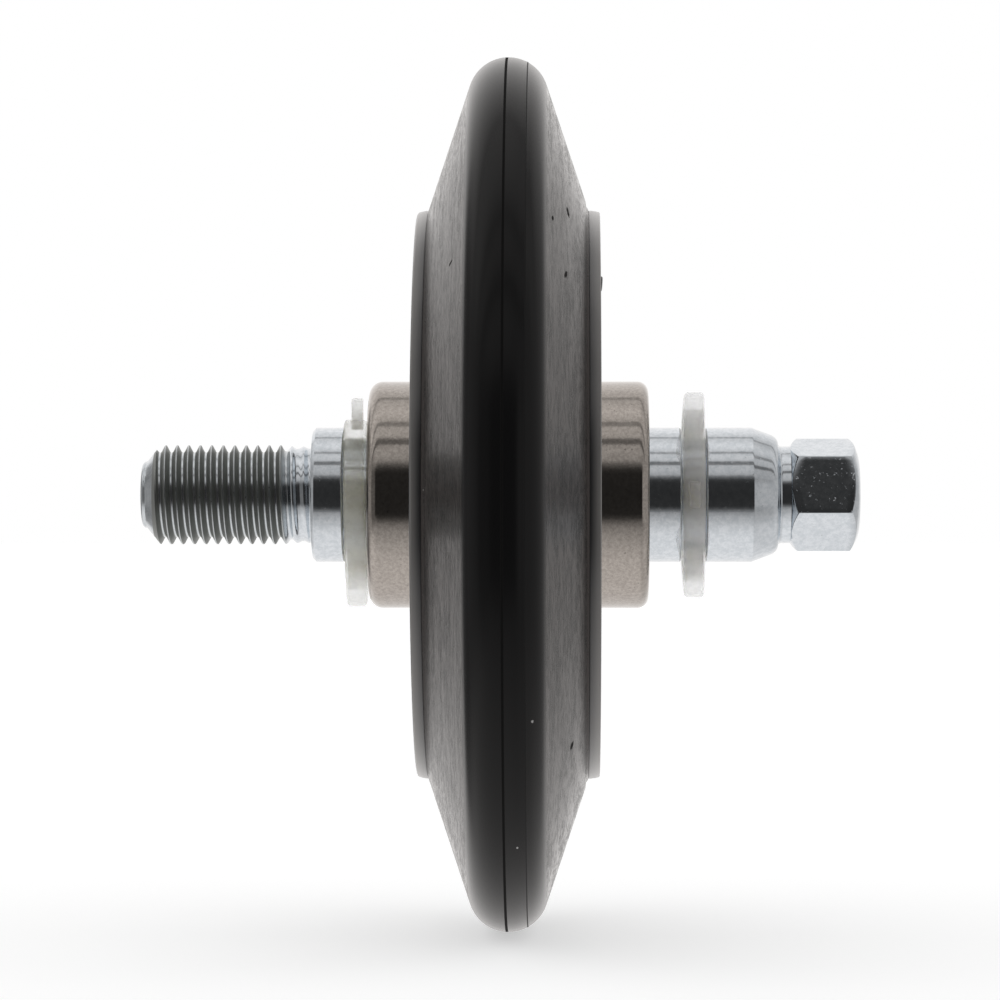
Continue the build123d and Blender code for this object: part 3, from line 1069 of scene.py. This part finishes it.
    def body_profile(self) -> Profile:
        """Returns the section from the end of the thread to the end of the neck."""
        rim = self.journal_radius
        floor = self.groove_floor_radius
        run_out = self.run_out_radius()
        corners = [
            (run_out + self.run_out_rises[0], self.run_out_end, 0.0),
            (run_out + self.run_out_rises[1], self.shoulder, self.shoulder_rounds[0]),
            (rim - self.collar_chamfer, self.shoulder, self.shoulder_rounds[1]),
            (rim, self.shoulder + self.collar_chamfer, self.collar_round),
        ]
        for ring in ("inner_retaining_ring", "outer_retaining_ring"):
            middle = middle_station(ring)
            corners += [
                (rim, middle - self.groove_half_width, self.edge_round),
                (floor, middle - self.groove_half_width, self.groove_round),
                (floor, middle + self.groove_half_width, self.groove_round),
                (rim, middle + self.groove_half_width, self.edge_round),
            ]
        corners += [(rim, self.taper_start, self.taper_round), (self.taper_radius, self.taper_end, 0.0)]
        profile = rounded(corners, self.corner_steps)[1:]
        foot = self.neck_radius + self.neck_fillet
        first_turn = math.radians(self.nose_first_turn)
        drop = (self.taper_radius - foot) / math.cos(first_turn)
        length = (self.neck_start - self.taper_end) / (1 - math.sin(first_turn))
        for turn in np.linspace(first_turn, math.pi / 2, self.nose_steps + 1)[1:]:
            station = self.neck_start - length * (1 - math.sin(turn))
            profile.append((foot + drop * math.cos(turn), station))
        for turn in quarter_turn(self.round_steps):
            radius = foot - self.neck_fillet * math.sin(turn)
            profile.append((radius, self.neck_start + self.neck_fillet * (1 - math.cos(turn))))
        profile.append((self.neck_radius, self.neck_end))
        return profile

    def run_out_radius(self) -> float:
        """Returns the mean radius at the end of the thread's run-out."""
        return self.thread_radius - self.run_out_drop - self.run_out_depth / 2

    def build(self) -> None:
        """Makes the turned part of the shaft."""
        skin = Skin()
        tip, end = self.add_thread(skin)
        low = self.tip_start() - self.tip_round
        nose: Profile = []
        for turn in quarter_turn(self.round_steps):
            radius = self.tip_edge_radius - self.tip_round * (1 - math.cos(turn))
            nose.append((radius, self.tip_start() - self.tip_round * math.sin(turn)))
        nose += [(self.tip_face_radius * share, low) for share in FACE_SHARES]
        skin.cap(self.carry_on(skin, tip, nose))
        skin.cap(self.carry_on(skin, end, self.body_profile()))
        make_piece("turned_shaft", skin, self.finish, "shaft", 50.0)


@dataclass
class Hexagon:
    """The shaft's hexagonal end, with a turned chamfer at the neck and a domed free end."""

    across_flats: float = 11.0
    tilt: float = 11.7
    corner_round: float = 0.16
    start: float = 30.94
    end_gap: float = 0.22
    neck_radius: float = 5.35
    inner_chamfer: float = 0.8
    chamfer_shares: tuple[float, ...] = (0.34, 0.67)
    outer_chamfer: float = 1.05
    dome_power: float = 1.7
    end_face_radius: float = 3.7
    edge: float = 0.06
    flat_steps: int = 14
    corner_steps: int = 4
    side_steps: int = 7
    dome_steps: int = 8
    finish: ZincPlate = field(default_factory=lambda: ZincPlate("flecked_zinc_plate", 4.5))

    def outline(self) -> np.ndarray:
        """Returns the hexagon's outline with rounded corners, as complex numbers."""
        flat = self.across_flats / 2
        sixth = math.pi / 3
        reach = (flat - self.corner_round) * math.tan(sixth / 2)
        points: list[complex] = []
        for k in range(6):
            normal = np.exp(1j * (math.radians(self.tilt) + k * sixth))
            for place in np.linspace(-reach, reach, self.flat_steps + 1):
                points.append(normal * complex(flat, place))
            centre = normal * complex(flat - self.corner_round, reach)
            for step in range(1, self.corner_steps):
                turn = np.exp(1j * sixth * step / self.corner_steps)
                points.append(centre + normal * self.corner_round * turn)
        return np.array(points)

    def corner(self) -> float:
        """Returns how far the hexagon's corners would reach if they were sharp."""
        return self.across_flats / 2 / math.cos(math.pi / 6)

    def dome_station(self, radius: np.ndarray) -> np.ndarray:
        """Returns where the domed end has each of these radii."""
        share = (radius - self.end_face_radius) / (self.corner() - self.end_face_radius)
        return self.end() - self.outer_chamfer * share**self.dome_power

    def end(self) -> float:
        """Returns where the domed end stops."""
        return ends("shaft")[1] - self.end_gap

    def build(self) -> None:
        """Makes the hexagon."""
        outline = self.outline()
        reach = abs(outline)
        unit = outline / reach
        rise = self.inner_chamfer / (self.corner() - self.neck_radius)
        skin = Skin()
        loops = [skin.loop(unit * self.neck_radius, self.start)]
        for share in self.chamfer_shares:
            radius = self.neck_radius + (reach - self.neck_radius) * share
            loops.append(skin.loop(unit * radius, self.start + (radius - self.neck_radius) * rise))
        chamfer_end = self.start + (reach - self.neck_radius) * rise
        loops.append(skin.loop(unit * (reach - self.edge), chamfer_end - self.edge * rise))
        low, high = chamfer_end + self.edge, self.dome_station(reach) - self.edge
        for share in np.linspace(0, 1, self.side_steps + 1):
            loops.append(skin.loop(outline, low + (high - low) * share))
        for share in np.linspace(0, 1, self.dome_steps + 1):
            radius = (reach - self.edge) + (self.end_face_radius - reach + self.edge) * share
            loops.append(skin.loop(unit * radius, self.dome_station(radius)))
        for share in FACE_SHARES:
            loops.append(skin.loop(unit * self.end_face_radius * share, self.end()))
        skin.chain(loops)
        skin.cap(loops[0])
        skin.cap(loops[-1])
        make_piece("hexagonal_drive", skin, self.finish, "shaft", 50.0)


@dataclass
class RetainingRing:
    """A triangular plastic ring with rounded edges and a pull tab on one side."""

    name: str
    node: str
    tab_angle: float
    finish: RingPlastic
    grip_radius: float = 6.22
    strip_width: float = 1.94
    outer_corner: float = 4.0
    inner_corner: float = 2.0
    thickness: float = 2.45
    tip_thickness: float = 2.15
    edge_round: float = 0.4
    bore_round: float = 0.18
    tab_reach: float = 10.65
    tab_width: float = 2.9
    tab_thickness: float = 1.2
    tab_corner: float = 0.5
    tab_corner_steps: int = 6
    tab_edges: tuple[tuple[float, float], ...] = ((0.14, 0.0), (0.04, 0.04), (0.0, 0.14))
    corner_steps: int = 24
    side_steps: int = 10
    round_steps: int = 4

    def outline(self, side_radius: float, corner: float, inset: float) -> np.ndarray:
        """Returns a rounded triangle's outline, as complex numbers.

        Args:
            side_radius: Distance from the axis to a side.
            corner: Radius of its rounded corners.
            inset: How far the outline is moved inwards.

        Returns:
            The closed outline, starting beside the tab.
        """
        points: list[complex] = []
        for k in range(3):
            angle = math.radians(self.tab_angle + 60 + 120 * k)
            centre = 2 * (side_radius - corner) * np.exp(1j * angle)
            turn = np.linspace(angle - math.pi / 3, angle + math.pi / 3, self.corner_steps + 1)
            arc = centre + (corner - inset) * np.exp(1j * turn)
            following = arc[0] * np.exp(2j * math.pi / 3)
            points += list(arc) + list(np.linspace(arc[-1], following, self.side_steps + 1)[1:-1])
        return np.array(points)

    def half_thickness(self, radius: np.ndarray) -> np.ndarray:
        """Returns half the ring's thickness at each radius, thinner towards its corners."""
        journal = Shaft.journal_radius
        tip = 2 * (self.grip_radius + self.strip_width - self.outer_corner) + self.outer_corner
        share = np.clip((radius - journal) / (tip - journal), 0, 1)
        return (self.thickness + (self.tip_thickness - self.thickness) * share) / 2

    def section(self) -> list[tuple[bool, float, float]]:
        """Returns the strip's section, each point as whether it is outside, its inset and its drop."""
        half = []
        for outside, size in ((False, self.bore_round), (True, self.edge_round)):
            turns = [0.0, *quarter_turn(self.round_steps)]
            if outside:
                turns.reverse()
            for turn in turns:
                half.append((outside, size * (1 - math.cos(turn)), size * (1 - math.sin(turn))))
        return half

    def build(self) -> None:
        """Makes the ring and its tab."""
        skin = Skin()
        middle = middle_station(self.node)
        side_radius = self.grip_radius + self.strip_width
        loops = []
        for sign in (1, -1):
            section = self.section() if sign == 1 else self.section()[::-1]
            for outside, inset, drop in section:
                if outside:
                    outline = self.outline(side_radius, self.outer_corner, inset)
                else:
                    outline = self.outline(self.grip_radius, self.inner_corner, -inset)
                stations = middle + sign * (self.half_thickness(abs(outline)) - drop)
                loops.append(skin.loop(outline, list(stations)))
        skin.chain(loops, closed=True)
        make_piece(self.name, skin, self.finish, self.node)
        self.build_tab(middle, side_radius - self.strip_width / 2)

    def build_tab(self, middle: float, start: float) -> None:
        """Makes the pull tab.

        Args:
            middle: The ring's middle along the axis.
            start: Where the tab starts, inside the strip.
        """
        turn = np.exp(1j * math.radians(self.tab_angle))
        upper = []
        for inset, drop in self.tab_edges:
            half, reach = self.tab_width / 2 - inset, self.tab_reach - inset
            corner = self.tab_corner - inset
            end_corners = [(reach, -half, corner), (reach, half, corner)]
            corners = [(start, -half, 0.0), *end_corners, (start, half, 0.0)]
            plane = np.array([complex(x, z) for x, z in rounded(corners, self.tab_corner_steps)]) * turn
            upper.append((plane, self.tab_thickness / 2 - drop))
        skin = Skin()
        loops = [skin.loop(plane, middle + height) for plane, height in upper]
        loops += [skin.loop(plane, middle - height) for plane, height in reversed(upper)]
        skin.chain(loops)
        skin.cap(loops[0])
        skin.cap(loops[-1])
        make_piece(self.name + "_tab", skin, self.finish, self.node)


@dataclass
class Studio:
    """The light tent, the pale floor and the camera."""

    eye: tuple[float, float, float] = (500.0, 6.2, 0.0)
    aim: tuple[float, float, float] = (0.0, -0.99, -0.585)
    frame_width: float = 110.44
    sensor: float = 36.0
    floor_gap: float = 0.15
    floor_half_size: float = 4000.0
    floor_colour: Colour = (0.78, 0.8, 0.812)
    floor_glow: float = 0.52
    light_tint: Colour = (1.025, 1.0, 0.985)
    near_end_level: float = 0.18
    far_end_level: float = 0.5
    far_wall_level: float = 0.8
    far_end: Range = (0.45, 0.62)
    near_end: Range = (-0.6, -0.4)
    far_wall: Range = (0.1, 0.5)
    sideways: Range = (0.5, 0.68)
    flat: Range = (0.25, 0.6)
    ends: tuple[tuple[float, float], ...] = (
        (0.2, 0.2), (0.27, 0.2), (0.34, 0.35), (0.5, 0.4), (0.63, 0.38), (0.71, 0.06),
    )
    above: tuple[tuple[float, float], ...] = (
        (0, 0.03), (22, 0.035), (26, 0.06), (31, 0.2), (35, 0.48), (43, 0.58), (51, 0.58), (53, 0.22),
        (58, 0.22), (60, 0.62), (64, 0.7), (71, 0.73), (73, 0.7), (74, 0.4), (79, 0.4), (80, 0.72),
        (90, 0.91), (98, 0.89), (108, 0.77), (112, 0.75), (113, 0.5), (117, 0.5), (118, 0.8),
        (125, 0.86), (138, 1.0), (180, 1.05),
    )
    below: tuple[tuple[float, float], ...] = (
        (0, 0.03), (20, 0.035), (24, 0.08), (29, 0.26), (33, 0.38), (38, 0.49), (48, 0.62), (60, 0.77),
        (72, 0.88), (90, 0.93), (160, 0.97), (180, 1.0),
    )

    def sky(self, graph: Graph) -> Value:
        """Draws the tent's light in each direction.

        The tent is a tunnel along the axis, dark towards the camera, with panels whose joints show as
        darker lines above. Its two ends are dimmer than its walls.

        Args:
            graph: The world's node tree.

        Returns:
            The socket of the light's colour.
        """
        direction = graph.node("TexCoord").outputs["Generated"]
        parts = graph.node("SeparateXYZ", {0: direction}).outputs
        angle = graph.math("ARCTAN2", parts["Z"], parts["X"])
        share = graph.math("DIVIDE", graph.math("ABSOLUTE", angle), math.pi)
        upper = graph.ramp(share, [(place / 180, level) for place, level in self.above])
        lower = graph.ramp(share, [(place / 180, level) for place, level in self.below])
        tunnel = graph.mix(graph.math("LESS_THAN", angle, 0.0), upper, lower)
        tunnel = graph.scaled(tunnel, graph.span(parts["Y"], self.far_wall, (1.0, self.far_wall_level)))
        towards = graph.math("MULTIPLY_ADD", parts["X"], 0.5, 0.5)
        far_end = graph.span(parts["Y"], self.far_end, (0.0, self.far_end_level))
        near_end = graph.span(parts["Y"], self.near_end, (self.near_end_level, 0.0))
        glow = graph.math("ADD", far_end, near_end)
        end_light = graph.math("MAXIMUM", graph.ramp(towards, self.ends), glow)
        sideways = graph.span(graph.math("ABSOLUTE", parts["Y"]), self.sideways)
        flat = graph.span(graph.math("ABSOLUTE", parts["Z"]), self.flat, FALLING)
        light = graph.mix(graph.math("MULTIPLY", sideways, flat), tunnel, end_light)
        return graph.vector("MULTIPLY", light, self.light_tint)

    def build_light(self) -> None:
        """Makes the tent's light, and white for what the camera sees past the object."""
        world = bpy.data.worlds.new("light_tent")
        bpy.context.scene.world = world
        world.use_nodes = True
        graph = Graph(world.node_tree)
        tent = graph.node("Background", {"Color": self.sky(graph)})
        white = graph.node("Background", {"Color": (1, 1, 1, 1)})
        seen = graph.node("LightPath").outputs["Is Camera Ray"]
        mixed = graph.node("MixShader", {0: seen, 1: tent.outputs[0], 2: white.outputs[0]})
        graph.node("OutputWorld", {"Surface": mixed.outputs[0]})

    def build_floor(self) -> None:
        """Makes the pale floor under the tyre, white where the light reaches it, and clear from below."""
        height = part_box("tyre")[0].z / MM - self.floor_gap
        size = self.floor_half_size
        mesh = bpy.data.meshes.new("floor")
        corners = [(-size, -size), (size, -size), (size, size), (-size, size)]
        mesh.from_pydata([(x * MM, y * MM, height * MM) for x, y in corners], [], [(0, 1, 2, 3)])
        floor = bpy.data.objects.new("floor", mesh)
        bpy.context.scene.collection.objects.link(floor)
        material = bpy.data.materials.new("floor_paper")
        material.use_nodes = True
        graph = Graph(material.node_tree)
        paper = graph.node("BsdfDiffuse", {"Color": (*self.floor_colour, 1)})
        glow = graph.node("Emission", {"Color": (1, 1, 1, 1), "Strength": self.floor_glow})
        lit = graph.node("AddShader", {0: paper.outputs[0], 1: glow.outputs[0]})
        under = graph.node("NewGeometry").outputs["Backfacing"]
        clear = graph.node("BsdfTransparent")
        mixed = graph.node("MixShader", {0: under, 1: lit.outputs[0], 2: clear.outputs[0]})
        graph.node("OutputMaterial", {"Surface": mixed.outputs[0]})
        mesh.materials.append(material)
        floor.visible_diffuse = False
        floor.visible_glossy = False
        floor.visible_transmission = False
        floor.visible_shadow = False

    def build_camera(self) -> None:
        """Makes the camera, level with the axis and a little towards the hexagon."""
        camera = bpy.data.cameras.new("camera")
        eye, aim = Vector(self.eye) * MM, Vector(self.aim) * MM
        camera.sensor_width = self.sensor
        camera.lens = self.sensor * self.eye[0] / self.frame_width
        camera.clip_start = 0.01
        stand = bpy.data.objects.new("camera", camera)
        stand.location = eye
        stand.rotation_euler = (aim - eye).to_track_quat("-Z", "Y").to_euler()
        bpy.context.scene.collection.objects.link(stand)
        bpy.context.scene.camera = stand

    def build(self) -> None:
        """Makes the light, the floor and the camera."""
        bpy.context.scene.view_settings.view_transform = "Standard"
        self.build_light()
        self.build_floor()
        self.build_camera()


def main() -> None:
    """Builds the roller, piece by piece, and the studio round it."""
    logging.basicConfig(level=logging.INFO, format="%(message)s")
    inner_plastic = RingPlastic("inner_ring_plastic", (0.97, 0.945, 0.74))
    outer_plastic = RingPlastic("outer_ring_plastic", (0.97, 0.94, 0.80))
    assemblies = [
        Tyre(),
        Hub(),
        Bush(),
        Shaft(),
        Hexagon(),
        RetainingRing("inner_ring", "inner_retaining_ring", 90.0, inner_plastic),
        RetainingRing("outer_ring", "outer_retaining_ring", 0.0, outer_plastic),
        Studio(),
    ]
    for assembly in assemblies:
        assembly.build()


if __name__ == "__main__":
    main()
